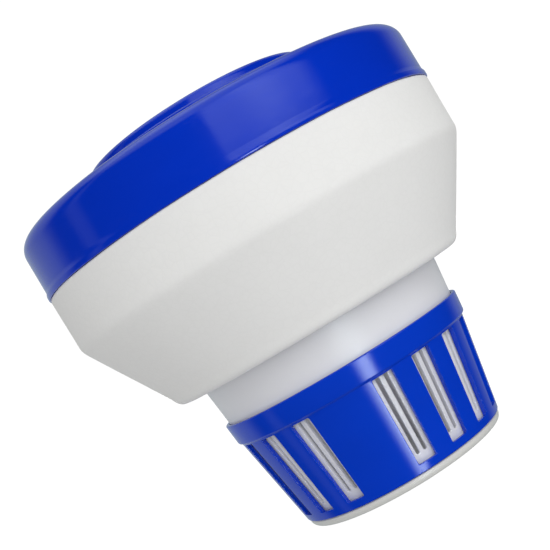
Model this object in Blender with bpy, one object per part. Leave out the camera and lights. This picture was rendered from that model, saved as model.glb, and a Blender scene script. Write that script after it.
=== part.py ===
"""Floating chlorine dispenser for 76 mm tablets.

A glossy cap, a foam float ring, a tapered basket that holds the tablets, a vent ring that turns on
the basket to open or cover its slots, and a base cap that closes the basket and keeps the vent ring
on. Metres, +Z up, origin on the axis at the underside of the base cap.
"""

import math

import bpy
import bmesh

# --- driving dimensions, in millimetres -----------------------------------------------------------
LIP_R = 90.0                # lower lip of the lid, the widest place of the object
STEP_R = 54.6               # lower step of the lid's boss
BOSS_R = 51.4               # upper step of the lid's boss
SKIRT_R = 89.4              # lid skirt
FLOAT_R = 89.6              # cylindrical band of the float
CREASE_R = 89.3             # where the band turns into the cone
CONE_FOOT_R = 66.9          # lower corner of the float's cone
NECK_TOP_R = 54.7           # basket where it leaves the float
NECK_FOOT_R = 52.8          # basket where it enters the vent ring
BAND_R = 54.8               # proud band at the top of the vent ring
RING_TOP_R = 52.7           # vent ring just below its band, outside
RING_FOOT_R = 45.4          # vent ring's lower edge, outside
CAP_R = 44.8                # base cap

RING_FOOT_Z = 3.7
WINDOW_Z = (6.9, 43.4)
BAND_Z = (44.1, 53.5)
FLOAT_FOOT_Z = 69.9
CONE_FOOT_Z = 72.0
CREASE_Z = 109.2
LID_EDGE_Z = 133.1
FLANGE_Z = (138.6, 141.1)
THROAT_TOP_Z = 154.8
SKIRT_TOP_Z = 152.2
RIM_Z = 158.7
STEP_Z = 165.6              # lower step of the lid's boss
BOSS_TOP_Z = 169.5          # shoulder of the boss, below its slight crown

WALL = 2.0                  # basket and vent ring
EDGE = 0.5                  # small chamfers and roundings
LIP_HEIGHT = 2.0            # proud lip at the lid's lower edge
LIP_BLEND = 1.2             # height over which the skirt widens to the lip
STEP_FILLET = (2.2, 1.6)    # concave foot of the boss: how far out and how far up it reaches
CREASE_ROUND = 1.0          # the float's crease is blunted over this height
CONE_ROUND = (3.0, 0.7)     # rounded foot of the float's cone: how far in and how far up it reaches
BAND_TAPER = 0.9            # the vent ring's band narrows by this downwards
LID_WALL = 2.2
BOSS_ROUND = 2.7            # rounded shoulder of the boss
STEP_ROUND = 1.2
CROWN = 2.0                 # rise of the boss's top towards its middle
COLLAR_CLEARANCE = 0.7      # between the lid's collar and the throat's lugs
REBATE_CLEARANCE = 0.5      # between the lid's skirt and the foam inside it
FLANGE_CLEARANCE = 1.2      # between the lid's skirt and the basket's flange
GAP = 0.3                   # between pieces that touch
SHOULDER_DROP = 1.4         # the basket narrows this far below the vent ring's top edge
SHOULDER_HEIGHT = 1.2       # over this height

PITCH = 20.0                # degrees between window places around the ring
PLACES = 18
BLANKS = (4, 13)            # places without a window, counted from +X
WINDOW_ANGLE = 9.8
WINDOW_TURN = 1.0           # the windows lie this far round from their places
SLOT_ANGLE = 1.9
SLOT_APART = 4.2            # between the two slots of a pair
SLOT_TURN = 1.0             # the slot pairs lie this far round from their places
SLOT_Z = (10.3, 47.6)
COLUMN_ANGLE = 5.2          # widest column of a pierced wall

DRAINS = 8
DRAIN_ANGLE = 7.0
DRAIN_R = (16.0, 32.0)
CENTRE_DRAIN_R = 3.0

FOOT_IN_R = 36.0            # the foot ring the object stands on reaches from here to the cap's edge
FOOT_DEPTH = 0.8
FLOOR_TOP_Z = 3.0
CAP_ROUND = 2.4             # rounded lower edge of the base cap
COLLAR_TOP_Z = 5.3          # locating collar of the base cap, inside the basket
COLLAR_WALL = 1.8
COLLAR_FILLET = 0.8

LUGS = 3
LUG_ANGLE = 34.0
LUG_DEPTH = 1.9
LUG_Z = (148.9, 151.7)
LUG_OVERLAP = 0.5           # the lugs start this far inside the throat's wall

LATHE_STEPS = 64
BLUE = (0.0, 0.024, 0.479)
MM = 0.001


# --- meshes ---------------------------------------------------------------------------------------
def place(radius, height, angle):
    """A point in metres, from millimetres and degrees around the axis."""
    turn = math.radians(angle)
    return (radius * math.cos(turn) * MM, radius * math.sin(turn) * MM, height * MM)


def arc(centre, radius, start, end, steps):
    """Profile points along a round edge, from the start to the end direction in degrees."""
    points = []
    for i in range(steps + 1):
        turn = math.radians(start + (end - start) * i / steps)
        points.append((centre[0] + radius * math.cos(turn), centre[1] + radius * math.sin(turn)))
    return points


def even_angles(steps):
    """Angles evenly around the axis."""
    return [360.0 * i / steps for i in range(steps)]


def make_object(name, mesh_data, material):
    """Turn a bmesh into an object with smooth shading and its own material."""
    bmesh.ops.recalc_face_normals(mesh_data, faces=mesh_data.faces)
    mesh = bpy.data.meshes.new(name)
    mesh_data.to_mesh(mesh)
    mesh_data.free()
    mesh.shade_smooth()
    mesh.set_sharp_from_angle(angle=math.radians(30))
    mesh.materials.append(material)
    obj = bpy.data.objects.new(name, mesh)
    bpy.context.scene.collection.objects.link(obj)
    return obj


def lathe(profile, angles):
    """Spin a closed profile of (radius, height) points; a point on the axis becomes one pole."""
    bm = bmesh.new()
    rows = []
    for radius, height in profile:
        if radius == 0.0:
            pole = bm.verts.new((0.0, 0.0, height * MM))
            rows.append([pole] * len(angles))
        else:
            rows.append([bm.verts.new(place(radius, height, a)) for a in angles])
    for i, row in enumerate(rows):
        after = rows[(i + 1) % len(rows)]
        for j in range(len(angles)):
            k = (j + 1) % len(angles)
            corners = list(dict.fromkeys((row[j], row[k], after[k], after[j])))
            if len(corners) > 2:
                bm.faces.new(corners)
    return bm


def pierced_shell(outside, inside, angles, is_open):
    """A turned wall with openings right through it.

    outside and inside are (radius, height) points of the two skins, matched one to one, and
    is_open(level, column) says which of the cells between them are cut away.
    """
    bm = bmesh.new()
    skins = []
    for profile in (outside, inside):
        skins.append([[bm.verts.new(place(r, z, a)) for a in angles] for r, z in profile])
    levels = len(outside) - 1
    columns = len(angles)

    def cut(level, column):
        return 0 <= level < levels and is_open(level, column % columns)

    for i in range(levels):
        for j in range(columns):
            k = (j + 1) % columns
            if cut(i, j):
                continue
            for skin in skins:
                bm.faces.new((skin[i][j], skin[i][k], skin[i + 1][k], skin[i + 1][j]))
            for side, at in ((j - 1, j), (j + 1, k)):
                if cut(i, side):
                    bm.faces.new((skins[0][i][at], skins[0][i + 1][at],
                                  skins[1][i + 1][at], skins[1][i][at]))
            for level, at in ((i - 1, i), (i + 1, i + 1)):
                if cut(level, j) or level < 0 or level == levels:
                    bm.faces.new((skins[0][at][j], skins[0][at][k],
                                  skins[1][at][k], skins[1][at][j]))
    bmesh.ops.delete(bm, geom=[v for v in bm.verts if not v.link_faces], context="VERTS")
    return bm


def on_line(first, last, height):
    """The radius at a height on the straight line between two profile points."""
    share = (height - first[1]) / (last[1] - first[1])
    return first[0] + (last[0] - first[0]) * share


def material(name, colour, roughness):
    """A plain Principled material."""
    mat = bpy.data.materials.new(name)
    mat.use_nodes = True
    shader = mat.node_tree.nodes["Principled BSDF"]
    shader.inputs["Base Color"].default_value = (*colour, 1.0)
    shader.inputs["Roughness"].default_value = roughness
    shader.inputs["Metallic"].default_value = 0.0
    return mat


# --- the pieces -----------------------------------------------------------------------------------
def ring_inside(height):
    """Inner radius of the vent ring's cone, also where it is continued upwards."""
    return on_line((RING_TOP_R, BAND_Z[0]), (RING_FOOT_R, RING_FOOT_Z), height) - WALL


def neck_outside(height):
    """Outer radius of the basket above the vent ring."""
    return on_line((NECK_TOP_R, FLOAT_FOOT_Z), (NECK_FOOT_R, BAND_Z[1]), height)


def make_lid():
    """Cap: skirt with a lip, top with a two-step boss, and an inner collar that goes over the throat."""
    corner = RIM_Z - SKIRT_TOP_Z
    outside = [(0.0, BOSS_TOP_Z + CROWN), (BOSS_R / 2, BOSS_TOP_Z + CROWN * 0.7)]
    outside += arc((BOSS_R - BOSS_ROUND, BOSS_TOP_Z - BOSS_ROUND), BOSS_ROUND, 85, 0, 3)
    outside += [(BOSS_R, STEP_Z)]
    outside += arc((STEP_R - STEP_ROUND, STEP_Z - STEP_ROUND), STEP_ROUND, 80, 0, 2)
    outside += [(STEP_R + EDGE, RIM_Z + STEP_FILLET[1]), (STEP_R + STEP_FILLET[0], RIM_Z + EDGE / 2)]
    outside += arc((SKIRT_R - corner, SKIRT_TOP_Z), corner, 88, 0, 5)
    outside += [(SKIRT_R, LID_EDGE_Z + LIP_HEIGHT + LIP_BLEND), (LIP_R, LID_EDGE_Z + LIP_HEIGHT),
                (LIP_R, LID_EDGE_Z + EDGE), (LIP_R - EDGE, LID_EDGE_Z)]
    under_top = RIM_Z - LID_WALL
    skirt_in = SKIRT_R - LID_WALL
    collar_in = neck_outside(FLANGE_Z[1]) + LUG_DEPTH + COLLAR_CLEARANCE
    collar_out = collar_in + LID_WALL
    collar_foot = FLANGE_Z[1] + GAP
    boss_in = STEP_R - LID_WALL
    crown_in = BOSS_R - LID_WALL
    inside = [(skirt_in, LID_EDGE_Z), (skirt_in, SKIRT_TOP_Z)]
    inside += arc((SKIRT_R - corner, SKIRT_TOP_Z), corner - LID_WALL, 45, 90, 1)
    inside += [(collar_out, under_top), (collar_out, collar_foot), (collar_in, collar_foot)]
    inside += [(collar_in, under_top), (boss_in + EDGE, under_top), (boss_in, STEP_Z - LID_WALL)]
    inside += [(crown_in, STEP_Z - LID_WALL + EDGE), (crown_in - EDGE, BOSS_TOP_Z - LID_WALL)]
    inside += [(0.0, BOSS_TOP_Z + CROWN - LID_WALL)]
    return make_object("lid", lathe(outside + inside, even_angles(LATHE_STEPS)),
                       material("lid_blue", BLUE, 0.16))


def make_float_ring():
    """Foam ring: rebate under the lid's skirt, band, cone, rounded foot, and a tapered bore."""
    rebate_r = SKIRT_R - LID_WALL - REBATE_CLEARANCE
    step_z = LID_EDGE_Z - GAP
    top_z = FLANGE_Z[0] - GAP
    foot_in, foot_up = CONE_ROUND
    profile = [(rebate_r - EDGE, top_z), (rebate_r, top_z - EDGE), (rebate_r, step_z)]
    profile += [(FLOAT_R - EDGE, step_z), (FLOAT_R, step_z - EDGE)]
    profile += [(CREASE_R, CREASE_Z + CREASE_ROUND), (CREASE_R - EDGE, CREASE_Z - CREASE_ROUND / 2)]
    profile += [(CONE_FOOT_R + EDGE, CONE_FOOT_Z + foot_up)]
    profile += [(CONE_FOOT_R - 2 * EDGE, FLOAT_FOOT_Z + foot_up)]
    profile += [(CONE_FOOT_R - foot_in, FLOAT_FOOT_Z)]
    profile += [(neck_outside(z) + GAP, z) for z in (FLOAT_FOOT_Z, top_z)]
    return make_object("float_ring", lathe(profile, even_angles(LATHE_STEPS)),
                       material("foam_white", (0.73, 0.73, 0.72), 0.85))


def opening_angles(places, half_widths, turn):
    """Sorted angles that hold both edges of every opening, and how columns map to openings."""
    edges = []
    for index in places:
        middle = index * PITCH + turn
        for low, high in half_widths:
            edges.append(((middle + low) % 360.0, (middle + high) % 360.0))
    cuts = sorted({angle for edge in edges for angle in edge})
    angles = []
    for i, angle in enumerate(cuts):
        after = cuts[(i + 1) % len(cuts)]
        span = (after - angle) % 360.0
        parts = max(1, round(span / COLUMN_ANGLE))
        angles += [angle + span * k / parts for k in range(parts)]
    angles = sorted(a % 360.0 for a in angles)
    open_columns = set()
    for j, angle in enumerate(angles):
        middle = angle + ((angles[(j + 1) % len(angles)] - angle) % 360.0) / 2
        for low, high in edges:
            if (middle - low) % 360.0 < (high - low) % 360.0:
                open_columns.add(j)
    return angles, open_columns


def window_places():
    """Places around the axis that hold a window."""
    return [i for i in range(PLACES) if i not in BLANKS]


def make_vent_ring():
    """Conical sleeve with a proud band at its top and tall windows."""
    under_band = BAND_Z[0] - EDGE / 2
    body = ((RING_TOP_R, under_band), (RING_FOOT_R, RING_FOOT_Z))
    lip_in = neck_outside(BAND_Z[1]) + GAP
    lip_z = BAND_Z[1] - SHOULDER_DROP + GAP
    below_z = lip_z - SHOULDER_HEIGHT
    heights = (under_band, WINDOW_Z[1], WINDOW_Z[0], RING_FOOT_Z)
    outside = [(BAND_R - EDGE, BAND_Z[1]), (BAND_R, BAND_Z[1] - EDGE),
               (BAND_R - BAND_TAPER, BAND_Z[0] + EDGE)]
    outside += [(on_line(*body, z), z) for z in heights]
    inside = [(lip_in, BAND_Z[1]), (lip_in, lip_z), (ring_inside(below_z), below_z)]
    inside += [(ring_inside(z), z) for z in heights]
    half = WINDOW_ANGLE / 2
    angles, open_columns = opening_angles(window_places(), ((-half, half),), WINDOW_TURN)
    window_level = len(outside) - 3
    shell = pierced_shell(outside, inside, angles,
                          lambda level, column: level == window_level and column in open_columns)
    return make_object("vent_ring", shell, material("ring_blue", BLUE, 0.2))


def add_lugs(basket, throat_r):
    """Join short lugs to the outside of the throat, which the lid's collar hooks under."""
    bm = bmesh.new()
    steps = 6
    root_r = throat_r - LUG_OVERLAP
    section = ((root_r, LUG_Z[0]), (throat_r + LUG_DEPTH, LUG_Z[0]),
               (throat_r + LUG_DEPTH, LUG_Z[1]), (root_r, LUG_Z[1]))
    for lug in range(LUGS):
        first = lug * 360.0 / LUGS
        rows = [[bm.verts.new(place(r, z, first + LUG_ANGLE * k / steps)) for r, z in section]
                for k in range(steps + 1)]
        for row, after in zip(rows, rows[1:]):
            for i in range(len(section)):
                j = (i + 1) % len(section)
                bm.faces.new((row[i], row[j], after[j], after[i]))
        bm.faces.new(rows[0])
        bm.faces.new(rows[-1])
    guide = make_object("lug_guide", bm, basket.data.materials[0])
    guide.hide_render = True
    guide.display_type = "WIRE"
    union = basket.modifiers.new("lugs", "BOOLEAN")
    union.operation = "UNION"
    union.solver = "EXACT"
    union.object = guide


def make_basket():
    """Tapered cup, open at both ends: flange on the foam, throat with lugs, slots at its foot."""
    shoulder_z = BAND_Z[1] - SHOULDER_DROP
    below_z = shoulder_z - SHOULDER_HEIGHT
    throat_r = neck_outside(FLANGE_Z[1])
    flange_r = SKIRT_R - LID_WALL - FLANGE_CLEARANCE
    heights = (below_z, SLOT_Z[1], SLOT_Z[0], RING_FOOT_Z)
    outside = [(throat_r - EDGE, THROAT_TOP_Z), (throat_r, THROAT_TOP_Z - EDGE),
               (throat_r, FLANGE_Z[1]), (flange_r, FLANGE_Z[1]), (flange_r, FLANGE_Z[0])]
    outside += [(neck_outside(z), z) for z in (FLANGE_Z[0], BAND_Z[1], shoulder_z)]
    outside += [(ring_inside(z) - GAP, z) for z in heights]
    throat_in = throat_r - WALL
    inside = [(throat_in + EDGE, THROAT_TOP_Z), (throat_in, THROAT_TOP_Z - EDGE),
              (throat_in, FLANGE_Z[1] + EDGE), (throat_in, FLANGE_Z[1]), (throat_in, FLANGE_Z[0])]
    inside += [(neck_outside(z) - WALL, z) for z in (FLANGE_Z[0] - EDGE, BAND_Z[1], shoulder_z)]
    inside += [(ring_inside(z) - GAP - WALL, z) for z in heights]
    half = SLOT_ANGLE / 2
    pair = [(side * SLOT_APART / 2 - half, side * SLOT_APART / 2 + half) for side in (-1, 1)]
    angles, open_columns = opening_angles(window_places(), pair, SLOT_TURN)
    slot_level = len(outside) - 3
    shell = pierced_shell(outside, inside, angles,
                          lambda level, column: level == slot_level and column in open_columns)
    basket = make_object("basket", shell, material("basket_white", (0.68, 0.70, 0.73), 0.3))
    add_lugs(basket, throat_r)
    return basket


def make_base_cap():
    """Floor of the basket: rounded rim, foot ring, drain slots and a collar inside the basket."""
    rim_top = RING_FOOT_Z - GAP
    collar_out = ring_inside(rim_top) - GAP - WALL - GAP
    collar_in = collar_out - COLLAR_WALL
    drain_radii = (FOOT_IN_R - FOOT_DEPTH, DRAIN_R[1], DRAIN_R[0], CENTRE_DRAIN_R)
    outside = [(collar_out, COLLAR_TOP_Z), (collar_out, rim_top), (CAP_R, rim_top)]
    outside += arc((CAP_R - CAP_ROUND, CAP_ROUND), CAP_ROUND, 0, -90, 2)
    outside += [(FOOT_IN_R, 0.0)]
    outside += [(r, FOOT_DEPTH) for r in drain_radii]
    bend_r = collar_in - COLLAR_FILLET
    inside = [(collar_in, COLLAR_TOP_Z), (collar_in, FLOOR_TOP_Z + COLLAR_FILLET)]
    inside += [(bend_r + (FOOT_IN_R - bend_r) * i / 4, FLOOR_TOP_Z) for i in range(5)]
    inside += [(r, FLOOR_TOP_Z) for r in drain_radii]
    half = DRAIN_ANGLE / 2
    places = [i * 360.0 / DRAINS / PITCH for i in range(DRAINS)]
    angles, open_columns = opening_angles(places, ((-half, half),), 0.0)
    drain_level = len(outside) - 3
    shell = pierced_shell(outside, inside, angles,
                          lambda level, column: level == drain_level and column in open_columns)
    return make_object("base_cap", shell, material("cap_white", (0.70, 0.70, 0.64), 0.4))


def main():
    for obj in list(bpy.data.objects):
        bpy.data.objects.remove(obj, do_unlink=True)
    make_lid()
    make_float_ring()
    make_basket()
    make_vent_ring()
    make_base_cap()


main()
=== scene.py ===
"""Looks of the floating chlorine dispenser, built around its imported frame.

Every piece is a turned shell around the Z axis. Measures are millimetres until a mesh is made.
Angles around the axis are degrees from +X towards +Y.
"""

import math

import bmesh
import bpy
from mathutils import Matrix, Vector, noise


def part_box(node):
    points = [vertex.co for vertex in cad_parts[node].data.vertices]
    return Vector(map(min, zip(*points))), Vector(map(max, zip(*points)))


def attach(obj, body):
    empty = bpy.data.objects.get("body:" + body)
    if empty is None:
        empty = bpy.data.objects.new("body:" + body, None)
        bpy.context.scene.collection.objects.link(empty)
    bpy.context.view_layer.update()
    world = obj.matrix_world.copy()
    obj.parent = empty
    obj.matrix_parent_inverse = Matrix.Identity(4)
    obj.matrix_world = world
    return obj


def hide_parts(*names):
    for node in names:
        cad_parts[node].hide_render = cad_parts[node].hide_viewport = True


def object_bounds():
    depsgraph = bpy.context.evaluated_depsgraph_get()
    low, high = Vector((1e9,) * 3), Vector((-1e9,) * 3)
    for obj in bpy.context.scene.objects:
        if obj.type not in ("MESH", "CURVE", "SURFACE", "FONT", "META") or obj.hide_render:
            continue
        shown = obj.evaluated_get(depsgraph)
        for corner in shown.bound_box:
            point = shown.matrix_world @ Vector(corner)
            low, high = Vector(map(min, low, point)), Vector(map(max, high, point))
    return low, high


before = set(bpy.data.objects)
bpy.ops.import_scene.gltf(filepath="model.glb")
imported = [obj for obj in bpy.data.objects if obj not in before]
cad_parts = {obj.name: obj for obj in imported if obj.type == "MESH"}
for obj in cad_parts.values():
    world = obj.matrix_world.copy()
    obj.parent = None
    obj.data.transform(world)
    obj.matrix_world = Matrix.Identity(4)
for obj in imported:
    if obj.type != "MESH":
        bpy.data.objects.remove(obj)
cad_low, cad_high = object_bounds()

MM = 0.001


def extent(node):
    """Radius, lowest and highest height of a CAD node, in millimetres."""
    low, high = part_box(node)
    return max(high.x, high.y, -low.x, -low.y) / MM, low.z / MM, high.z / MM


# --- measures, from the frame ---------------------------------------------------------------------
LIP_R, LID_EDGE_Z, LID_TOP_Z = extent("lid")
FLOAT_R, FLOAT_FOOT_Z, FLOAT_TOP_Z = extent("float_ring")
FLANGE_R, BASKET_FOOT_Z, THROAT_TOP_Z = extent("basket")
BAND_R, RING_FOOT_Z, BAND_TOP_Z = extent("vent_ring")
CAP_R, _, COLLAR_TOP_Z = extent("base_cap")

GAP = 0.3                       # between pieces that touch
WALL = 2.0                      # basket and vent ring
EDGE = 0.4                      # small roundings at the ends of walls
BEND = 0.8                      # larger ones, where a wall turns into a flange or a rim

LID_WALL = 2.2
LIP_TOP_Z = LID_EDGE_Z + 1.9    # proud lip at the lid's lower edge
LIP_ROUND = 0.5
SKIRT_R = LIP_R - 0.6
RIM_Z = LID_TOP_Z - 12.8        # the lid's flat top, around its boss
RIM_ROUND = 6.5
STEP_R = 54.6                   # lower step of the boss
STEP_Z = LID_TOP_Z - 5.9
STEP_ROUND = 1.2
STEP_FILLET = 3.0
BOSS_R = 51.4                   # upper step of the boss
SHOULDER_Z = LID_TOP_Z - 2.0    # the boss is crowned above this height
BOSS_ROUND = 2.7
BOSS_FILLET = 0.45
PIP_R = 1.6                     # gate mark in the middle of the crown
PIP_HEIGHT = 0.15

RIBS = 12
RIB_TURN = 15.0                 # the first rib lies this far round
RIB_THICKNESS = 1.4
RIB_DEPTH = 6.0
RIB_SHARE = 0.6                 # of that depth is left towards the skirt

CREASE_R = FLOAT_R - 0.3        # where the float's band turns into its cone
CREASE_Z = FLOAT_FOOT_Z + 39.3
CREASE_ROUND = 1.6
CONE_FOOT_R = FLOAT_R - 22.7
CONE_FOOT_Z = FLOAT_FOOT_Z + 2.1
REBATE_CLEARANCE = 0.5          # between the lid's skirt and the foam inside it
LIP_SEAT = 0.04                 # the foam's step lies this far below the lid's edge

FLANGE_Z = (FLOAT_TOP_Z + GAP, FLOAT_TOP_Z + GAP + 2.5)
NECK_TOP_R = BAND_R - 0.1
NECK_FOOT_R = BAND_R - 2.0
NECK_MIDDLE_Z = FLOAT_FOOT_Z + 40.1     # one more level in the long wall inside the float
RING_TOP_R = BAND_R - 2.1
RING_FOOT_R = BAND_R - 9.4
BAND_FOOT_Z = BAND_TOP_Z - 9.4
SHOULDER_HEIGHT = 1.2           # the basket narrows to the ring's cone over this height

PITCH = 20.0                    # degrees between places for a window
PLACES = [i for i in range(18) if i % 9 != 4]
WINDOW_ANGLE = 9.8
WINDOW_TURN = 1.0
WINDOW_Z = (RING_FOOT_Z + 3.2, BAND_TOP_Z - 10.1)
WINDOW_ROUND = 0.6
SLOT_ANGLE = 1.9
SLOT_APART = 4.2                # between the two slots of a pair
SLOT_TURN = 1.0
SLOT_Z = (BASKET_FOOT_Z + 6.6, BASKET_FOOT_Z + 43.9)
SLOT_ROUND = 0.75
SLOT_MARGIN = 1.2               # support loops this far above and below the slots

LUGS = 3
LUG_ANGLE = 34.0
LUG_Z = (THROAT_TOP_Z - 5.9, THROAT_TOP_Z - 3.1)
LUG_DEPTH = 1.9
LUG_OVERLAP = 0.4               # the lugs start this far inside the throat's wall
COLLAR_CLEARANCE = 0.7          # between the lid's collar and the lugs

DRAINS = 8
DRAIN_ANGLE = 7.0
DRAIN_R = (16.0, 32.0)
DRAIN_ROUND = 1.2
DRAIN_MARGIN = 1.5
CENTRE_R = (8.0, 3.0)           # last support loop, and the middle hole
CAP_ROUND = 2.4
FOOT_IN_R = 36.0
FOOT_DEPTH = 0.8
FOOT_EDGE = (0.3, 0.15)         # rounding of the foot ring's inner edge: width and height
FLOOR_TOP_Z = 3.0
CAP_COLLAR_WALL = 1.8

WELD_DISTANCE = 0.002           # joins points where two roundings meet

# Colours, as linear red, green and blue.
BLUE = (0.0, 0.028, 0.49)
RING_BLUE = (0.0, 0.039, 0.535)
FOAM = (0.80, 0.80, 0.788)
BASKET = (0.735, 0.74, 0.77)
BASE = (0.68, 0.68, 0.65)
WHITE = (1.0, 1.0, 1.0)


def neck_outside(height):
    """Outer radius of the basket above the vent ring."""
    slope = (NECK_TOP_R - NECK_FOOT_R) / (FLOAT_FOOT_Z - BAND_TOP_Z)
    return NECK_FOOT_R + slope * (height - BAND_TOP_Z)


def ring_outside(height):
    """Outer radius of the vent ring's cone, also where it is continued upwards."""
    slope = (RING_TOP_R - RING_FOOT_R) / (BAND_FOOT_Z - RING_FOOT_Z)
    return RING_FOOT_R + slope * (height - RING_FOOT_Z)


# --- mesh helpers ---------------------------------------------------------------------------------
def place(radius, height, angle):
    """A point in metres, from millimetres and degrees around the axis."""
    turn = math.radians(angle)
    return Vector((radius * math.cos(turn), radius * math.sin(turn), height)) * MM


def arc(centre, radius, start, end, steps):
    """Profile points along a round edge, from the start to the end direction in degrees."""
    points = []
    for i in range(steps + 1):
        turn = math.radians(start + (end - start) * i / steps)
        points.append((centre[0] + radius * math.cos(turn), centre[1] + radius * math.sin(turn)))
    return points


def spread(first, last, steps):
    """Points between two profile points, both ends left out."""
    return [(first[0] + (last[0] - first[0]) * i / steps, first[1] + (last[1] - first[1]) * i / steps)
            for i in range(1, steps)]


def bezier(first, handle, last, steps):
    """Points of a quadratic curve after its first point, up to its last."""
    points = []
    for i in range(1, steps + 1):
        t = i / steps
        points.append(tuple((1 - t) ** 2 * a + 2 * t * (1 - t) * b + t * t * c
                            for a, b, c in zip(first, handle, last)))
    return points


def finish_mesh(name, bm, bevel=None):
    """Turn a bmesh into a smooth object, its hard edges rounded by a small bevel."""
    bmesh.ops.recalc_face_normals(bm, faces=bm.faces)
    mesh = bpy.data.meshes.new(name)
    bm.to_mesh(mesh)
    bm.free()
    mesh.shade_smooth()
    obj = bpy.data.objects.new(name, mesh)
    bpy.context.scene.collection.objects.link(obj)
    if bevel:
        rounding = obj.modifiers.new("rounding", "BEVEL")
        rounding.width = bevel * MM
        rounding.segments = 2
        rounding.limit_method = "ANGLE"
        rounding.angle_limit = math.radians(38)
        rounding.loop_slide = False
        closing = obj.modifiers.new("join_where_roundings_meet", "WELD")
        closing.merge_threshold = WELD_DISTANCE * MM
        weighted = obj.modifiers.new("flat_faces_stay_flat", "WEIGHTED_NORMAL")
        weighted.weight = 60
    return obj


def lathe(profile, steps):
    """Spin a closed profile of (radius, height) points; a point on the axis becomes one pole."""
    bm = bmesh.new()
    rows = []
    for radius, height in profile:
        if radius == 0.0:
            rows.append([bm.verts.new((0.0, 0.0, height * MM))] * steps)
        else:
            rows.append([bm.verts.new(place(radius, height, 360.0 * j / steps)) for j in range(steps)])
    for row, after in zip(rows, rows[1:] + rows[:1]):
        for j in range(steps):
            k = (j + 1) % steps
            corners = list(dict.fromkeys((row[j], row[k], after[k], after[j])))
            if len(corners) > 2:
                bm.faces.new(corners)
    return bm


def angle_grid(openings, finest):
    """Angles around the axis that hold both edges of every opening, with even steps between them."""
    edges = [a for middle, half in openings for a in (middle - half, middle + half)]
    cuts = sorted({round(a % 360.0, 6) for a in edges})
    angles = []
    for i, angle in enumerate(cuts):
        span = (cuts[(i + 1) % len(cuts)] - angle) % 360.0
        parts = max(1, math.ceil(span / finest))
        angles += [angle + span * k / parts for k in range(parts)]
    return sorted(a % 360.0 for a in angles)


def signed_angle(angle):
    """An angle brought between -180 and 180 degrees."""
    return (angle + 180.0) % 360.0 - 180.0


def corner_levels(low, high, rounding, steps):
    """Levels from the top to the foot of an opening, close together at its round corners."""
    shares = [1.0 - math.cos(math.radians(90.0 * i / steps)) for i in range(steps + 1)]
    top = [high - rounding * s for s in shares]
    foot = [low + rounding * s for s in reversed(shares)]
    return top + foot


def corner_inset(level, low, high, rounding):
    """How far an opening's round corners pull its sides in at a level."""
    touching = -1e-6
    near = min(high - level, level - low)
    if near >= rounding or near < touching:
        return 0.0
    return rounding - math.sqrt(max(0.0, rounding ** 2 - (rounding - near) ** 2))


def pierced_shell(outside, inside, angles, openings, zone, rounding):
    """A turned wall, or a flat floor, with round-cornered openings right through it.

    outside and inside are matched (radius, height) points of the two skins. openings are
    (middle, half width) angles, zone is the first and last level of their length.
    """
    bm = bmesh.new()
    columns = len(angles)
    last = len(outside) - 1
    top, foot = outside[zone[0]], outside[zone[1]]
    axis = 1 if abs(top[1] - foot[1]) > 1e-6 else 0
    widest_inset = 0.8
    opening_of = {}
    for middle, half in openings:
        for j, angle in enumerate(angles):
            if abs(signed_angle(angle - middle)) <= half + 1e-4:
                opening_of[j] = (middle, half)

    def skin_point(profile, i, j):
        radius, height = profile[i]
        angle = angles[j]
        if j in opening_of and zone[0] <= i <= zone[1]:
            middle, half = opening_of[j]
            inset = corner_inset(outside[i][axis], foot[axis], top[axis], rounding)
            inset = math.degrees(inset / max(outside[i][0], 1.0))
            share = (half - min(inset, half * widest_inset)) / half
            angle = middle + signed_angle(angle - middle) * share
        return bm.verts.new(place(radius, height, angle))

    skins = [[[skin_point(p, i, j) for j in range(columns)] for i in range(len(p))]
             for p in (outside, inside)]
    open_columns = set()
    for j, angle in enumerate(angles):
        middle = angle + ((angles[(j + 1) % columns] - angle) % 360.0) / 2
        if any(abs(signed_angle(middle - m)) < h for m, h in openings):
            open_columns.add(j)

    def cut(level, column):
        return zone[0] <= level < zone[1] and column % columns in open_columns

    for i in range(last):
        for j in range(columns):
            k = (j + 1) % columns
            if cut(i, j):
                continue
            for skin in skins:
                bm.faces.new((skin[i][j], skin[i][k], skin[i + 1][k], skin[i + 1][j]))
            for side, at in ((j - 1, j), (j + 1, k)):
                if cut(i, side):
                    bm.faces.new((skins[0][i][at], skins[0][i + 1][at],
                                  skins[1][i + 1][at], skins[1][i][at]))
            for level, at in ((i - 1, i), (i + 1, i + 1)):
                if level < 0 or level == last or cut(level, j):
                    bm.faces.new((skins[0][at][j], skins[0][at][k],
                                  skins[1][at][k], skins[1][at][j]))
    bmesh.ops.delete(bm, geom=[v for v in bm.verts if not v.link_faces], context="VERTS")
    return bm


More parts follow.
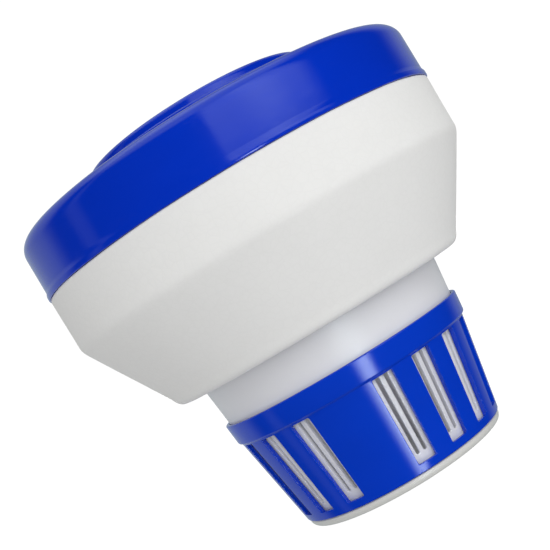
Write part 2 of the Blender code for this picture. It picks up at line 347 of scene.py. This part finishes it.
# --- node helpers ---------------------------------------------------------------------------------
class Nodes:
    """A node tree with short calls for the nodes used here."""

    def __init__(self, tree):
        self.tree = tree

    def link(self, source, target):
        self.tree.links.new(source, target)

    def math(self, operation, first, second=0.0):
        """One operation on two values, each a number or a socket."""
        node = self.tree.nodes.new("ShaderNodeMath")
        node.operation = operation
        for socket, value in zip(node.inputs, (first, second)):
            if isinstance(value, (int, float)):
                socket.default_value = value
            else:
                self.link(value, socket)
        return node.outputs[0]

    def ramp(self, source, low, high, first=0.0, last=1.0, shape="LINEAR"):
        """Map a value from low..high to first..last, clamped; low may lie above high."""
        node = self.tree.nodes.new("ShaderNodeMapRange")
        node.interpolation_type = shape
        node.inputs["From Min"].default_value = low
        node.inputs["From Max"].default_value = high
        node.inputs["To Min"].default_value = first
        node.inputs["To Max"].default_value = last
        self.link(source, node.inputs["Value"])
        return node.outputs["Result"]

    def mix(self, share, first, second):
        """Blend two colours, given as tuples or as sockets."""
        node = self.tree.nodes.new("ShaderNodeMix")
        node.data_type = "RGBA"
        self.link(share, node.inputs["Factor"])
        for name, value in (("A", first), ("B", second)):
            socket = [s for s in node.inputs if s.name == name and s.type == "RGBA"][0]
            if isinstance(value, tuple):
                socket.default_value = (*value, 1.0)
            else:
                self.link(value, socket)
        return [s for s in node.outputs if s.type == "RGBA"][0]


class Shader(Nodes):
    """A material's node tree, its patterns laid over the object."""

    def __init__(self, name):
        self.material = bpy.data.materials.new(name)
        self.material.use_nodes = True
        super().__init__(self.material.node_tree)
        self.bsdf = self.tree.nodes["Principled BSDF"]
        self.coordinates = self.tree.nodes.new("ShaderNodeTexCoord").outputs["Object"]

    def noise(self, scale, detail=2.0, roughness=0.5, stretch=None):
        """Fractal noise over the object; scale is features per metre, stretch scales the axes."""
        node = self.tree.nodes.new("ShaderNodeTexNoise")
        node.inputs["Scale"].default_value = scale
        node.inputs["Detail"].default_value = detail
        node.inputs["Roughness"].default_value = roughness
        source = self.coordinates
        if stretch:
            mapping = self.tree.nodes.new("ShaderNodeMapping")
            mapping.inputs["Scale"].default_value = stretch
            self.link(source, mapping.inputs["Vector"])
            source = mapping.outputs["Vector"]
        self.link(source, node.inputs["Vector"])
        return node.outputs["Fac"]

    def cells(self, scale, feature="DISTANCE_TO_EDGE"):
        """Rounded cells over the object, for foam beads."""
        node = self.tree.nodes.new("ShaderNodeTexVoronoi")
        node.feature = feature
        node.inputs["Scale"].default_value = scale
        self.link(self.coordinates, node.inputs["Vector"])
        return node.outputs["Color" if feature == "F1" else "Distance"]

    def bump(self, height, distance, strength, under=None):
        """A bump of the given depth in millimetres, on top of another one if given."""
        node = self.tree.nodes.new("ShaderNodeBump")
        node.inputs["Strength"].default_value = strength
        node.inputs["Distance"].default_value = distance * MM
        self.link(height, node.inputs["Height"])
        if under:
            self.link(under, node.inputs["Normal"])
        return node.outputs["Normal"]

    def set(self, **values):
        """Uniform values straight on the shader's own sockets."""
        names = {"roughness": "Roughness", "ior": "IOR", "subsurface": "Subsurface Weight",
                 "scatter": "Subsurface Scale", "scatter_radius": "Subsurface Radius",
                 "specular": "Specular IOR Level"}
        for key, value in values.items():
            self.bsdf.inputs[names[key]].default_value = value


# --- materials ------------------------------------------------------------------------------------
SCATTER_RADIUS = (1.0, 1.0, 0.95)


def scaled(colour, factor):
    return tuple(c * factor for c in colour)


def moulded_plastic(name, colour, gloss, grain, peel, subsurface=0.0):
    """Injection-moulded plastic: flow clouding, an orange-peel skin and faint handling marks.

    gloss is the least roughness, grain the share by which the colour varies, peel the depth of the
    orange peel.
    """
    s = Shader(name)
    clouds = s.noise(scale=14.0, detail=3.0, roughness=0.55, stretch=(1.0, 1.0, 2.2))
    specks = s.noise(scale=900.0, detail=2.0, roughness=0.6)
    scuffs = s.noise(scale=60.0, detail=6.0, roughness=0.75, stretch=(1.0, 1.0, 7.0))
    waves = s.noise(scale=190.0, detail=3.0, roughness=0.5)
    base = s.mix(s.ramp(clouds, 0.3, 0.7), scaled(colour, 1.0 - grain), scaled(colour, 1.0 + grain))
    base = s.mix(s.ramp(specks, 0.62, 0.8, 0.0, 0.25), base, scaled(colour, 1.0 + 2.0 * grain))
    s.link(base, s.bsdf.inputs["Base Color"])
    worn = s.ramp(scuffs, 0.55, 0.75, 0.0, 0.07)
    fine = s.ramp(specks, 0.2, 0.8, gloss - 0.015, gloss + 0.025)
    s.link(s.math("ADD", fine, worn), s.bsdf.inputs["Roughness"])
    skin = s.bump(waves, peel, strength=0.35)
    skin = s.bump(specks, peel * 0.25, strength=0.3, under=skin)
    s.link(skin, s.bsdf.inputs["Normal"])
    s.set(ior=1.49)
    if subsurface:
        s.set(subsurface=subsurface, scatter=4.0 * MM, scatter_radius=SCATTER_RADIUS)
    return s.material


def bead_foam(name, colour):
    """Moulded bead foam: fused beads with fine valleys, painted shade in those valleys, soft and matt.
    """
    beads_per_metre = 330.0
    s = Shader(name)
    edges = s.cells(beads_per_metre)
    tone = s.cells(beads_per_metre, "F1")
    patches = s.noise(scale=22.0, detail=4.0, roughness=0.6)
    pores = s.noise(scale=1500.0, detail=3.0, roughness=0.6)
    base = s.mix(s.ramp(patches, 0.3, 0.7), scaled(colour, 0.985), scaled(colour, 1.01))
    base = s.mix(s.ramp(tone, 0.0, 1.0, 0.0, 0.12), base, scaled(colour, 0.94))
    # painted shade: the colour darkens towards the seams between the beads, where the valleys lie in
    # shade
    base = s.mix(s.ramp(edges, 0.0, 0.10, 0.12, 0.0), base, scaled(colour, 0.86))
    s.link(base, s.bsdf.inputs["Base Color"])
    s.link(s.ramp(edges, 0.0, 0.3, 0.95, 0.84), s.bsdf.inputs["Roughness"])
    skin = s.bump(s.ramp(edges, 0.0, 0.35), 0.08, strength=0.22)
    skin = s.bump(pores, 0.05, strength=0.25, under=skin)
    s.link(skin, s.bsdf.inputs["Normal"])
    s.set(subsurface=0.15, scatter=3.0 * MM, scatter_radius=SCATTER_RADIUS, specular=0.3)
    return s.material


# --- the pieces -----------------------------------------------------------------------------------
def dress(obj, material, body, node=None):
    """Give a piece its material and body, and hide the CAD node that it stands for."""
    obj.data.materials.append(material)
    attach(obj, body)
    if node:
        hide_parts(node)


def lid_boss():
    """Profile of the lid's boss, from the middle of its crown to the foot of its lower step."""
    points = [(0.0, LID_TOP_Z + PIP_HEIGHT), (PIP_R - EDGE, LID_TOP_Z + PIP_HEIGHT), (PIP_R, LID_TOP_Z)]
    shoulder = arc((BOSS_R - BOSS_ROUND, SHOULDER_Z - BOSS_ROUND), BOSS_ROUND, 85, 0, 8)
    crown_r, crown_z = shoulder[0]
    crown_steps = 16
    for i in range(1, crown_steps):
        share = i / crown_steps
        points.append((crown_r * share, LID_TOP_Z - (LID_TOP_Z - crown_z) * share ** 2))
    points += shoulder
    points += arc((BOSS_R + 0.55, STEP_Z + 0.5), BOSS_FILLET, 180, 265, 3)
    points += arc((STEP_R - STEP_ROUND, STEP_Z - STEP_ROUND), STEP_ROUND, 84, 0, 5)
    points += arc((STEP_R + 3.3, RIM_Z + STEP_FILLET), STEP_FILLET, 190, 265, 6)
    return points


def lid_skirt(start):
    """Profile from the foot of the boss, over the round rim and down the skirt to its lip."""
    rim = arc((SKIRT_R - RIM_ROUND, RIM_Z - RIM_ROUND), RIM_ROUND, 88, 0, 14)
    straight_foot = (SKIRT_R, LIP_TOP_Z + 2.0)
    points = spread(start, rim[0], 6) + rim + spread(rim[-1], straight_foot, 6)
    points += [straight_foot, (SKIRT_R, LIP_TOP_Z + 1.5)]
    points += [(LIP_R - 0.08, LIP_TOP_Z + 0.3), (LIP_R, LIP_TOP_Z)]
    points += arc((LIP_R - LIP_ROUND, LID_EDGE_Z + LIP_ROUND), LIP_ROUND, 0, -90, 4)
    return points


def lid_underside(collar_in, collar_out, skirt_in, under):
    """Profile of the lid's inside, from its lower edge over the collar to the axis."""
    collar_foot = FLANGE_Z[1] + GAP
    step_in = STEP_R - LID_WALL
    boss_in = BOSS_R - LID_WALL
    points = arc((skirt_in + EDGE, LID_EDGE_Z + EDGE), EDGE, 270, 180, 3)
    points += arc((SKIRT_R - RIM_ROUND, RIM_Z - RIM_ROUND), RIM_ROUND - LID_WALL, 0, 90, 8)
    points += [(collar_out + 1.0, under), (collar_out, under - 1.0)]
    points += [(collar_out, collar_foot), (collar_in, collar_foot), (collar_in, under)]
    points += [(step_in + BEND, under), (step_in, under + BEND)]
    points += [(step_in, STEP_Z - LID_WALL), (boss_in, STEP_Z - LID_WALL + 0.6)]
    points += [(boss_in - 0.6, SHOULDER_Z - LID_WALL), (0.0, LID_TOP_Z - LID_WALL)]
    return points


def make_lid(material):
    """Glossy cap with a lipped skirt, a two-step boss, and a collar with ribs on its underside."""
    under = RIM_Z - LID_WALL
    skirt_in = SKIRT_R - LID_WALL
    collar_in = neck_outside(FLANGE_Z[1]) + LUG_DEPTH + COLLAR_CLEARANCE
    collar_out = collar_in + LID_WALL
    outside = lid_boss()
    outside += lid_skirt(outside[-1])
    inside = lid_underside(collar_in, collar_out, skirt_in, under)
    shell = lathe(outside + inside, steps=288)
    obj = finish_mesh("lid_shell", shell)
    obj.data.set_sharp_from_angle(angle=math.radians(50))
    dress(obj, material, "lid", "lid")
    make_lid_ribs(material, collar_out, skirt_in, under)


def make_lid_ribs(material, inner, outer, under):
    """Thin radial ribs that stiffen the lid's top between its collar and its skirt."""
    root = inner - 0.3
    bend, end = outer - 6.0, outer - 3.2
    top = under + 0.4
    profile = [(root, top), (root, under - RIB_DEPTH), (bend, under - RIB_DEPTH * RIB_SHARE),
               (end, under - 1.0), (end, top)]
    bm = bmesh.new()
    for i in range(RIBS):
        turn = Matrix.Rotation(math.radians(360.0 * i / RIBS + RIB_TURN), 4, "Z")
        sides = []
        for y in (-RIB_THICKNESS / 2, RIB_THICKNESS / 2):
            sides.append([bm.verts.new(turn @ (Vector((r, y, z)) * MM)) for r, z in profile])
        bm.faces.new(sides[0])
        bm.faces.new(list(reversed(sides[1])))
        for a in range(len(profile)):
            b = (a + 1) % len(profile)
            bm.faces.new((sides[0][b], sides[0][a], sides[1][a], sides[1][b]))
    dress(finish_mesh("lid_ribs", bm, bevel=0.25), material, "lid")


def float_profile():
    """Profile of the foam ring: rebate for the lid, band, crease, cone, foot and bore."""
    rebate_r = SKIRT_R - LID_WALL - REBATE_CLEARANCE
    step_z = LID_EDGE_Z - LIP_SEAT
    bore_top = neck_outside(FLOAT_TOP_Z) + GAP
    bore_foot = neck_outside(FLOAT_FOOT_Z) + GAP
    row_height = 1.1
    band = [(FLOAT_R, step_z - 0.9), (CREASE_R, CREASE_Z + CREASE_ROUND)]
    cone = [(CREASE_R - 1.0, CREASE_Z - CREASE_ROUND), (CONE_FOOT_R + 1.3, CONE_FOOT_Z + 2.2)]
    foot = [(CONE_FOOT_R - 3.6, FLOAT_FOOT_Z), (bore_foot + EDGE, FLOAT_FOOT_Z)]
    bore = [(bore_foot, FLOAT_FOOT_Z + EDGE), (bore_top, FLOAT_TOP_Z - EDGE)]
    points = [(rebate_r - 1.0, FLOAT_TOP_Z), (rebate_r, FLOAT_TOP_Z - 1.0), (rebate_r, step_z)]
    points += [(FLOAT_R - 0.5, step_z), (FLOAT_R - 0.15, step_z - 0.2), band[0]]
    points += spread(*band, round(math.dist(*band) / row_height)) + [band[1]]
    points += bezier(band[1], (CREASE_R - 0.1, CREASE_Z), cone[0], 4)
    points += spread(*cone, round(math.dist(*cone) / row_height)) + [cone[1]]
    points += bezier(cone[1], (CONE_FOOT_R - 0.6, FLOAT_FOOT_Z - 0.4), foot[0], 8)
    points += spread(*foot, 6) + [foot[1], bore[0]]
    points += spread(*bore, 8) + [bore[1], (bore_top + EDGE, FLOAT_TOP_Z)]
    return points


def foam_height(point):
    """Height of the foam's skin over its turned form, in metres: sunk seams between the beads."""
    beads_per_metre, waves_per_metre = 300.0, 55.0
    seam_width, seam_depth, wave_depth = 0.35, 0.025, 0.12
    nearest, second = noise.voronoi(point * beads_per_metre)[0][:2]
    seam = min(1.0, (second - nearest) / seam_width)
    wave = noise.noise(point * waves_per_metre)
    return (seam_depth * (seam - 1.0) + wave_depth * (wave - 1.0)) * MM


def make_float(material):
    """Foam ring whose skin shows its fused beads and a soft, slightly uneven crease."""
    visible_from = 60.0 * MM
    bm = lathe(float_profile(), steps=480)
    bmesh.ops.recalc_face_normals(bm, faces=bm.faces)
    bm.normal_update()
    skin = [v for v in bm.verts if v.co.to_2d().length > visible_from]
    moves = [(v, v.normal * foam_height(v.co)) for v in skin]
    for vertex, move in moves:
        vertex.co += move
    obj = finish_mesh("foam_float", bm)
    obj.data.set_sharp_from_angle(angle=math.radians(60))
    dress(obj, material, "basket", "float_ring")


def make_basket(material):
    """Tapered cup with a flange, a throat with lugs, and pairs of round-ended slots."""
    shoulder_z = BAND_TOP_Z - 1.4
    below_z = shoulder_z - SHOULDER_HEIGHT
    under_ring = WALL + GAP
    throat_r = neck_outside(FLANGE_Z[1])
    throat_in = throat_r - WALL
    slot_levels = corner_levels(*SLOT_Z, SLOT_ROUND, 4)
    outside = [(throat_r - 0.6, THROAT_TOP_Z), (throat_r, THROAT_TOP_Z - BEND),
               (throat_r, FLANGE_Z[1] + BEND), (throat_r + BEND, FLANGE_Z[1]),
               (FLANGE_R - EDGE, FLANGE_Z[1]), (FLANGE_R, FLANGE_Z[1] - EDGE),
               (FLANGE_R, FLANGE_Z[0] + EDGE), (FLANGE_R - EDGE, FLANGE_Z[0])]
    levels = (FLANGE_Z[0], NECK_MIDDLE_Z, FLOAT_FOOT_Z, BAND_TOP_Z, shoulder_z)
    outside += [(neck_outside(z), z) for z in levels]
    outside += [(ring_outside(z) - under_ring, z) for z in (below_z, SLOT_Z[1] + SLOT_MARGIN)]
    first = len(outside)
    outside += [(ring_outside(z) - under_ring, z) for z in slot_levels]
    last = len(outside) - 1
    outside += [(ring_outside(z) - under_ring, z) for z in (SLOT_Z[0] - SLOT_MARGIN, BASKET_FOOT_Z)]
    inside = [(throat_in + EDGE, THROAT_TOP_Z), (throat_in, THROAT_TOP_Z - BEND)]
    inside += [(throat_in, FLANGE_Z[1] + dz) for dz in (BEND, 0.4, 0.0, -0.8, -1.4, -2.0)]
    levels = (FLANGE_Z[0] - 0.5,) + levels[1:]
    inside += [(neck_outside(z) - WALL, z) for z in levels]
    inside += [(ring_outside(z) - under_ring - WALL, z) for _, z in outside[first - 2:]]
    openings = [(index * PITCH + SLOT_TURN + side * SLOT_APART / 2, SLOT_ANGLE / 2)
                for index in PLACES for side in (-1, 1)]
    angles = angle_grid(openings, finest=1.6)
    shell = pierced_shell(outside, inside, angles, openings, (first, last), SLOT_ROUND)
    dress(finish_mesh("basket_cup", shell, bevel=0.2), material, "basket", "basket")
    make_lugs(material, throat_r)


def make_lugs(material, throat_r):
    """Lugs on the throat that the lid's collar hooks under, ramped at one end."""
    bm = bmesh.new()
    steps = 24
    root = throat_r - LUG_OVERLAP
    for lug in range(LUGS):
        rows = []
        for k in range(steps + 1):
            share = k / steps
            rise = min(1.0, share / 0.25, (1.0 - share) / 0.06 + 0.15)
            outer = throat_r + LUG_DEPTH * rise
            edge = min(EDGE, (outer - root) / 2)
            section = [(root, LUG_Z[0]), (outer - edge, LUG_Z[0]), (outer, LUG_Z[0] + edge),
                       (outer, LUG_Z[1] - edge), (outer - edge, LUG_Z[1]), (root, LUG_Z[1])]
            angle = lug * 360.0 / LUGS + LUG_ANGLE * share
            rows.append([bm.verts.new(place(r, z, angle)) for r, z in section])
        for row, after in zip(rows, rows[1:]):
            for a in range(len(row)):
                b = (a + 1) % len(row)
                bm.faces.new((row[a], row[b], after[b], after[a]))
        bm.faces.new(rows[0])
        bm.faces.new(rows[-1])
    dress(finish_mesh("throat_lugs", bm, bevel=0.15), material, "basket")


def make_vent_ring(material):
    """Conical sleeve with a proud band and round-cornered windows."""
    under_band = BAND_FOOT_Z - 0.2
    lip_in = neck_outside(BAND_TOP_Z) + GAP
    lip_z = BAND_TOP_Z - 1.1
    below_z = lip_z - SHOULDER_HEIGHT
    foot_z = (WINDOW_Z[0] + RING_FOOT_Z) / 2
    window_levels = corner_levels(*WINDOW_Z, WINDOW_ROUND, 3)
    band_top = ((0.5, 0.0), (0.1, 0.2), (0.0, 0.6))
    band_foot = ((0.4, 5.0), (0.85, 0.9), (1.15, 0.4), (1.6, 0.1))
    outside = [(BAND_R - inset, BAND_TOP_Z - drop) for inset, drop in band_top]
    outside += [(BAND_R - inset, BAND_FOOT_Z + rise) for inset, rise in band_foot]
    outside += [(ring_outside(under_band), under_band)]
    inside = [(lip_in, BAND_TOP_Z - drop) for _, drop in band_top] + [(lip_in, lip_z)]
    inside += [(ring_outside(z) - WALL, z)
               for z in (below_z, BAND_FOOT_Z + 0.9, BAND_FOOT_Z + 0.4, under_band)]
    first = len(outside)
    for z in window_levels + [foot_z, RING_FOOT_Z]:
        outside.append((ring_outside(z), z))
        inside.append((ring_outside(z) - WALL, z))
    last = first + len(window_levels) - 1
    openings = [(index * PITCH + WINDOW_TURN, WINDOW_ANGLE / 2) for index in PLACES]
    angles = angle_grid(openings, finest=1.4)
    shell = pierced_shell(outside, inside, angles, openings, (first, last), WINDOW_ROUND)
    sleeve = finish_mesh("vent_sleeve", shell, bevel=0.22)
    dress(sleeve, material, "vent_ring", "vent_ring")


def make_base_cap(material):
    """Floor of the basket with a rounded rim, a foot ring and drain slots."""
    rim_top = RING_FOOT_Z - GAP
    collar_out = ring_outside(rim_top) - 2 * WALL - 2 * GAP
    collar_in = collar_out - CAP_COLLAR_WALL
    floor_r = FOOT_IN_R - FOOT_DEPTH
    bend_z = FLOOR_TOP_Z + 0.9
    outside = [(collar_out - EDGE, COLLAR_TOP_Z), (collar_out, COLLAR_TOP_Z - EDGE)]
    outside += [(collar_out, rim_top + 0.3), (collar_out + 0.3, rim_top)]
    outside += [(CAP_R - EDGE, rim_top), (CAP_R, rim_top - EDGE)]
    outside += arc((CAP_R - CAP_ROUND, CAP_ROUND), CAP_ROUND, 0, -90, 8)
    outside += [(FOOT_IN_R + FOOT_EDGE[0], 0.0), (FOOT_IN_R, FOOT_EDGE[1]), (floor_r, FOOT_DEPTH)]
    inside = [(collar_in + 0.3, COLLAR_TOP_Z), (collar_in, COLLAR_TOP_Z - EDGE)]
    inside += spread((collar_in, COLLAR_TOP_Z - EDGE), (collar_in, bend_z), 5) + [(collar_in, bend_z)]
    inside += [(collar_in - 0.15, FLOOR_TOP_Z + 0.4), (collar_in - 0.4, FLOOR_TOP_Z + 0.15)]
    inside += [(collar_in - 0.9, FLOOR_TOP_Z)]
    inside += spread(inside[-1], (floor_r, FLOOR_TOP_Z), len(outside) - len(inside))
    inside += [(floor_r, FLOOR_TOP_Z)]
    radii = corner_levels(*DRAIN_R, DRAIN_ROUND, 4)
    first = len(outside) + 1
    for radius in [DRAIN_R[1] + DRAIN_MARGIN] + radii + [DRAIN_R[0] - DRAIN_MARGIN, *CENTRE_R]:
        outside.append((radius, FOOT_DEPTH))
        inside.append((radius, FLOOR_TOP_Z))
    last = first + len(radii) - 1
    openings = [(i * 360.0 / DRAINS, DRAIN_ANGLE / 2) for i in range(DRAINS)]
    angles = angle_grid(openings, finest=1.8)
    shell = pierced_shell(outside, inside, angles, openings, (first, last), DRAIN_ROUND)
    dress(finish_mesh("base_floor", shell, bevel=0.15), material, "basket", "base_cap")


# --- floor, light and camera ----------------------------------------------------------------------
UPRIGHT = ((7.4, 8.6), (62.0, 50.0))

# What glossy surfaces see around them: strength, edges in azimuth, edges in elevation. At an edge
# the light rises from nothing at its first angle to full at its second.
STUDIO = (
    (0.50, ((-98.0, -118.0),), ()),                                      # white behind, left
    (0.38, ((118.0, 142.0),), ()),                                       # and right
    (1.20, ((2.5, 4.5), (68.0, 54.0)), UPRIGHT),                         # broad soft box
    (0.75, ((16.0, 35.0), (54.0, 35.0)), UPRIGHT),                       # its bright middle
    (9.00, ((4.0, 15.0), (24.0, 18.0)), ((-40.0, -34.0), (2.0, -4.0))),  # narrow low strip
    (0.25, ((-90.0, -84.0), (-74.0, -80.0)), ()),                        # weak strip, left
    (0.90, (), ((48.0, 66.0),)),                                         # light overhead
)
DIM_ROOM = 0.008                # between those lights
AMBIENT = 0.50                  # what matt surfaces get from the room
BACKDROP = 1.05                 # what the camera sees, just past white
GLOSS_TINT = (0.86, 1.0, 1.04)  # reflections are slightly cool

FLOOR_SIZE = 6.0                # metres
FLOOR_DROP = 0.0002
FLOOR_GREY = ((0.30, 0.30, 0.30), (0.32, 0.32, 0.32))
FLOOR_GLOW = (0.40, 0.93)       # emission as the object and as the camera sees it

EYE = Vector((0.0, -0.457, 0.0848))
AIM = Vector((-0.0053, 0.0, 0.0964))
ROLL = 31.0
LENS = 72.0                     # on a sensor 36 mm wide


def make_floor():
    """Pale floor that keeps only a faint contact shadow."""
    bm = bmesh.new()
    bmesh.ops.create_grid(bm, x_segments=12, y_segments=12, size=FLOOR_SIZE)
    floor = finish_mesh("studio_floor", bm)
    floor.location.z = cad_low.z - FLOOR_DROP
    s = Shader("pale_floor")
    s.link(s.mix(s.ramp(s.noise(scale=3.0), 0.3, 0.7), *FLOOR_GREY), s.bsdf.inputs["Base Color"])
    s.bsdf.inputs["Emission Color"].default_value = (*WHITE, 1.0)
    seen = s.tree.nodes.new("ShaderNodeLightPath").outputs["Is Camera Ray"]
    s.link(s.ramp(seen, 0.0, 1.0, *FLOOR_GLOW), s.bsdf.inputs["Emission Strength"])
    s.set(roughness=0.9, specular=0.0)
    floor.data.materials.append(s.material)
    floor.visible_glossy = False


def add_light(name, azimuth, elevation, distance, size, power):
    """A square soft light that looks at the object's middle; azimuth 0 is over the viewer's side."""
    data = bpy.data.lights.new(name, "AREA")
    data.energy = power
    data.size = size
    light = bpy.data.objects.new(name, data)
    bpy.context.scene.collection.objects.link(light)
    a, e = math.radians(azimuth), math.radians(elevation)
    out = Vector((math.sin(a) * math.cos(e), -math.cos(a) * math.cos(e), math.sin(e)))
    middle = (cad_low + cad_high) / 2
    light.location = middle + out * distance
    light.rotation_euler = out.to_track_quat("Z", "Y").to_euler()
    light.visible_glossy = False


def add_inner_glow():
    """Weak light in the basket, for what its thin white wall lets through."""
    data = bpy.data.lights.new("inner_glow", "POINT")
    data.energy = 0.015
    data.shadow_soft_size = 20.0 * MM
    light = bpy.data.objects.new("inner_glow", data)
    bpy.context.scene.collection.objects.link(light)
    light.location = (0.0, 0.0, FLOAT_FOOT_Z * MM)
    light.visible_glossy = False
    light.visible_camera = False


def make_world():
    """White studio: plain white to the camera, even to matt surfaces, the lights above in gloss."""
    world = bpy.data.worlds.new("studio")
    bpy.context.scene.world = world
    world.use_nodes = True
    world.node_tree.nodes.clear()
    nodes = Nodes(world.node_tree)
    new = world.node_tree.nodes.new

    parts = new("ShaderNodeSeparateXYZ")
    nodes.link(new("ShaderNodeTexCoord").outputs["Generated"], parts.inputs[0])
    x, y, z = parts.outputs
    to_degrees = math.degrees(1.0)
    azimuth = nodes.math("ARCTAN2", x, nodes.math("MULTIPLY", y, -1.0))
    azimuth = nodes.math("MULTIPLY", azimuth, to_degrees)
    elevation = nodes.math("MULTIPLY", nodes.math("ARCSINE", z), to_degrees)
    glossy = DIM_ROOM
    for strength, azimuth_edges, elevation_edges in STUDIO:
        light = strength
        for value, edges in ((azimuth, azimuth_edges), (elevation, elevation_edges)):
            for start, full in edges:
                edge = nodes.ramp(value, start, full, shape="SMOOTHSTEP")
                light = nodes.math("MULTIPLY", edge, light)
        glossy = nodes.math("ADD", glossy, light)

    def choose(switch, value, otherwise):
        """value where switch is 1, else otherwise."""
        rest = nodes.math("SUBTRACT", 1.0, switch)
        return nodes.math("ADD", nodes.math("MULTIPLY", value, switch),
                          nodes.math("MULTIPLY", otherwise, rest))

    paths = new("ShaderNodeLightPath").outputs
    strength = choose(paths["Is Glossy Ray"], glossy, AMBIENT)
    strength = choose(paths["Is Camera Ray"], BACKDROP, strength)
    background = new("ShaderNodeBackground")
    nodes.link(nodes.mix(paths["Is Glossy Ray"], WHITE, GLOSS_TINT), background.inputs["Color"])
    nodes.link(strength, background.inputs["Strength"])
    nodes.link(background.outputs[0], new("ShaderNodeOutputWorld").inputs["Surface"])


def make_camera():
    """Camera near the height of the float's foot, rolled so that the object leans to the left."""
    roll = math.radians(ROLL)
    back = (EYE - AIM).normalized()
    right = Vector((0.0, 0.0, 1.0)).cross(back).normalized()
    up = back.cross(right)
    rolled_right = right * math.cos(roll) - up * math.sin(roll)
    rolled_up = right * math.sin(roll) + up * math.cos(roll)
    data = bpy.data.cameras.new("camera")
    data.lens = LENS
    data.sensor_width = 36.0
    data.clip_start = 0.01
    camera = bpy.data.objects.new("camera", data)
    bpy.context.scene.collection.objects.link(camera)
    turn = Matrix((rolled_right, rolled_up, back)).transposed().to_4x4()
    camera.matrix_world = Matrix.Translation(EYE) @ turn
    bpy.context.scene.camera = camera


make_camera()
make_world()
make_floor()
add_light("key", azimuth=21.0, elevation=18.0, distance=1.1, size=0.9, power=6.6)
add_light("fill_left", azimuth=-104.0, elevation=10.0, distance=1.2, size=0.8, power=1.8)
add_inner_glow()
make_lid(moulded_plastic("blue_plastic", BLUE, gloss=0.11, grain=0.05, peel=0.05))
make_float(bead_foam("bead_foam", FOAM))
make_basket(moulded_plastic("basket_plastic", BASKET, gloss=0.36, grain=0.01, peel=0.02, subsurface=0.5))
make_vent_ring(moulded_plastic("ring_plastic", RING_BLUE, gloss=0.13, grain=0.05, peel=0.025))
make_base_cap(moulded_plastic("base_plastic", BASE, gloss=0.3, grain=0.015, peel=0.04, subsurface=0.1))
bpy.context.scene.view_settings.view_transform = "Standard"

bpy.context.view_layer.update()
